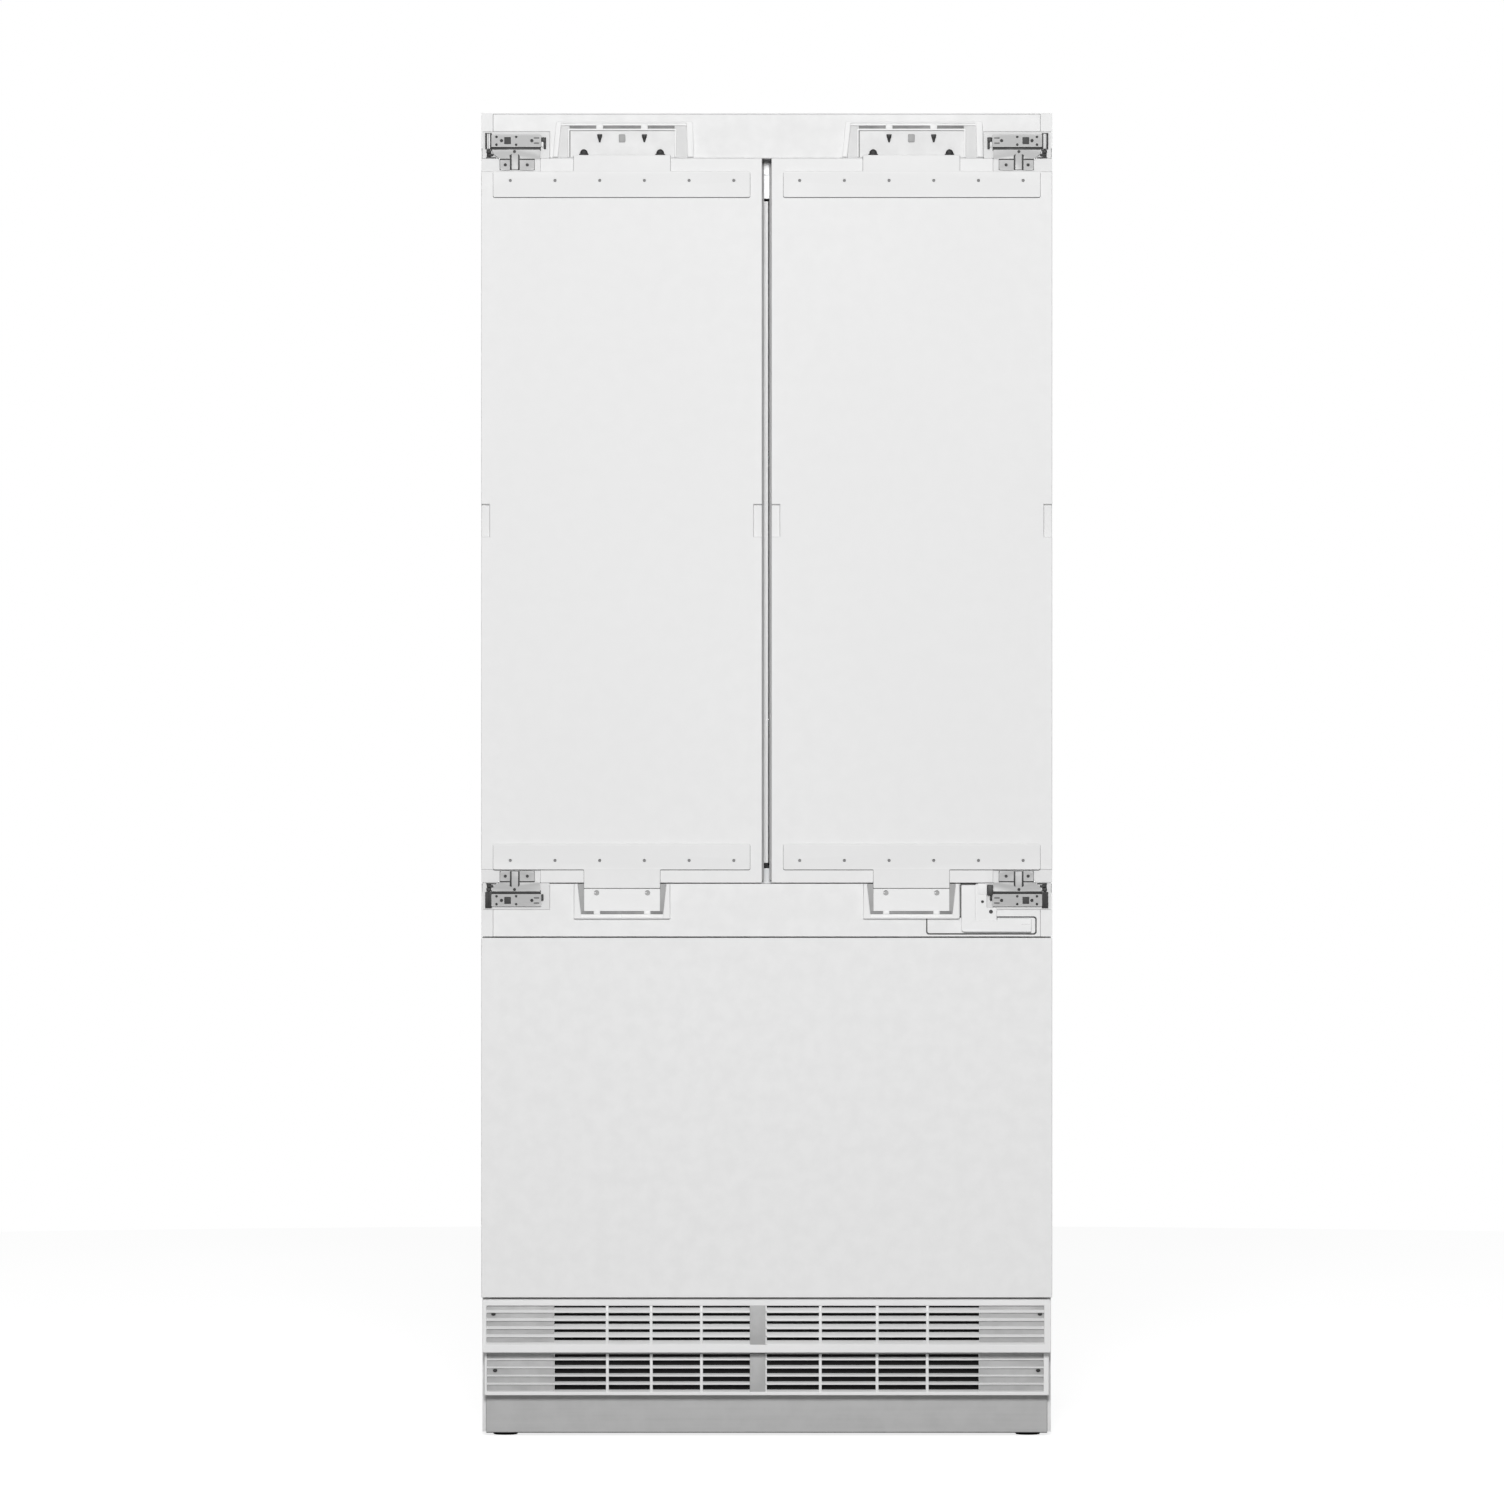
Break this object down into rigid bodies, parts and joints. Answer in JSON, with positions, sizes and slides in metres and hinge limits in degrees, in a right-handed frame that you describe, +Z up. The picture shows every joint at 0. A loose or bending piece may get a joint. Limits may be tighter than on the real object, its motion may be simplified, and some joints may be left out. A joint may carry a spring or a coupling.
{
  "type": "french door refrigerator",
  "caption": "Built-in panel-ready refrigerator with hinged upper doors, a pull-out freezer drawer, panel brackets, louvred base grilles and a recessed kick plate.",
  "frame": {"origin": "centre of the footprint, on the floor", "axes": "+X to the right as seen from the front, +Y from the doors to the back, +Z up"},
  "size_m": [0.908, 0.61, 2.108],
  "materials": {
    "white_paint": "satin",
    "white_plastic": "satin",
    "grille_plastic": "satin",
    "kick_steel": "satin",
    "hinge_steel": "satin",
    "galvanised": "satin",
    "black_rubber": "matte",
    "black_plastic": "matte",
    "grey_rubber": "matte",
    "liner_plastic": "satin",
    "clear_plastic": "gloss",
    "glass": "polished",
    "foam": "matte",
    "coil_metal": "satin",
    "compressor_black": "satin",
    "panel_dark": "gloss"
  },
  "bodies": {
    "root": {"cabinet_shell": "white_paint", "insulation": "foam", "fridge_liner": "liner_plastic", "freezer_liner": "liner_plastic", "glass_shelf_lower": "glass", "glass_shelf_upper": "glass", "control_panel": "panel_dark", "top_rail": "white_plastic", "mid_rail": "white_plastic", "top_frame_left": "white_plastic", "top_frame_right": "white_plastic", "bottom_frame_left": "white_plastic", "bottom_frame_right": "white_plastic", "hinge_top_left": "hinge_steel", "hinge_top_right": "hinge_steel", "hinge_bottom_left": "hinge_steel", "hinge_bottom_right": "hinge_steel", "drawer_track_left": "galvanised", "drawer_track_right": "galvanised", "evaporator_cover": "liner_plastic", "evaporator": "coil_metal", "upper_grille": "grille_plastic", "lower_grille": "grille_plastic", "kick_plate": "kick_steel", "base_pan": "galvanised", "compressor": "compressor_black", "condenser": "coil_metal"},
    "left_door": {"left_door_panel": "white_paint", "left_door_liner": "liner_plastic", "left_door_gasket": "grey_rubber", "left_strip_top": "white_plastic", "left_strip_bottom": "white_plastic", "leaf_top_left": "hinge_steel", "leaf_bottom_left": "hinge_steel", "left_door_bin_1": "clear_plastic", "left_door_bin_2": "clear_plastic"},
    "right_door": {"right_door_panel": "white_paint", "right_door_liner": "liner_plastic", "right_door_gasket": "grey_rubber", "right_strip_top": "white_plastic", "right_strip_bottom": "white_plastic", "leaf_top_right": "hinge_steel", "leaf_bottom_right": "hinge_steel", "right_door_bin_1": "clear_plastic", "right_door_bin_2": "clear_plastic", "harness_cover": "white_plastic"},
    "flip_mullion": {"flip_mullion": "white_plastic"},
    "freezer_drawer": {"drawer_panel": "white_paint", "drawer_liner": "liner_plastic", "drawer_gasket": "grey_rubber", "freezer_basket": "liner_plastic"},
    "middle_slides": {"drawer_middle_slides": "galvanised"},
    "freezer_tray": {"freezer_tray": "clear_plastic"},
    "crisper_left": {"crisper_left": "clear_plastic"},
    "crisper_right": {"crisper_right": "clear_plastic"},
    "evaporator_fan": {"evaporator_fan": "black_plastic"},
    "condenser_fan": {"condenser_fan": "black_plastic"},
    "foot_left": {"foot_left": "black_rubber"},
    "foot_right": {"foot_right": "black_rubber"},
    "rear_rollers": {"rear_rollers": "black_plastic"}
  },
  "joints": [
    {"name": "left_door_hinge", "type": "hinge", "parent": "root", "child": "left_door", "pos_m": [-0.4445, -0.287, 0.884], "axis": [0, 0, -1], "range_deg": [0, 105]},
    {"name": "right_door_hinge", "type": "hinge", "parent": "root", "child": "right_door", "pos_m": [0.4445, -0.287, 0.884], "axis": [0, 0, 1], "range_deg": [0, 105]},
    {"name": "mullion_fold", "type": "hinge", "parent": "left_door", "child": "flip_mullion", "pos_m": [-0.029, -0.2235, 0.884], "axis": [0, 0, 1], "range_deg": [0, 90]},
    {"name": "freezer_drawer_slide", "type": "slide", "parent": "root", "child": "freezer_drawer", "axis": [0, -1, 0], "range_m": [0, 0.4]},
    {"name": "middle_slides_travel", "type": "slide", "parent": "root", "child": "middle_slides", "axis": [0, -1, 0], "range_m": [0, 0.2]},
    {"name": "freezer_tray_slide", "type": "slide", "parent": "freezer_drawer", "child": "freezer_tray", "axis": [0, 1, 0], "range_m": [0, 0.09]},
    {"name": "crisper_left_slide", "type": "slide", "parent": "root", "child": "crisper_left", "axis": [0, -1, 0], "range_m": [0, 0.095]},
    {"name": "crisper_right_slide", "type": "slide", "parent": "root", "child": "crisper_right", "axis": [0, -1, 0], "range_m": [0, 0.095]},
    {"name": "evaporator_fan_spin", "type": "hinge", "parent": "root", "child": "evaporator_fan", "pos_m": [0, 0.185, 0.6995], "axis": [0, 1, 0], "continuous": true},
    {"name": "condenser_fan_spin", "type": "hinge", "parent": "root", "child": "condenser_fan", "pos_m": [-0.06, -0.079, 0.128], "axis": [0, 1, 0], "continuous": true},
    {"name": "foot_left_turn", "type": "hinge", "parent": "root", "child": "foot_left", "pos_m": [-0.418, -0.2, 0], "axis": [0, 0, 1], "continuous": true},
    {"name": "foot_right_turn", "type": "hinge", "parent": "root", "child": "foot_right", "pos_m": [0.418, -0.2, 0], "axis": [0, 0, 1], "continuous": true},
    {"name": "rear_rollers_roll", "type": "hinge", "parent": "root", "child": "rear_rollers", "pos_m": [0, 0.25, 0.02], "axis": [1, 0, 0], "continuous": true}
  ],
  "couplings": [
    {"joint": "middle_slides_travel", "follows": "freezer_drawer_slide", "ratio": 0.5}
  ]
}
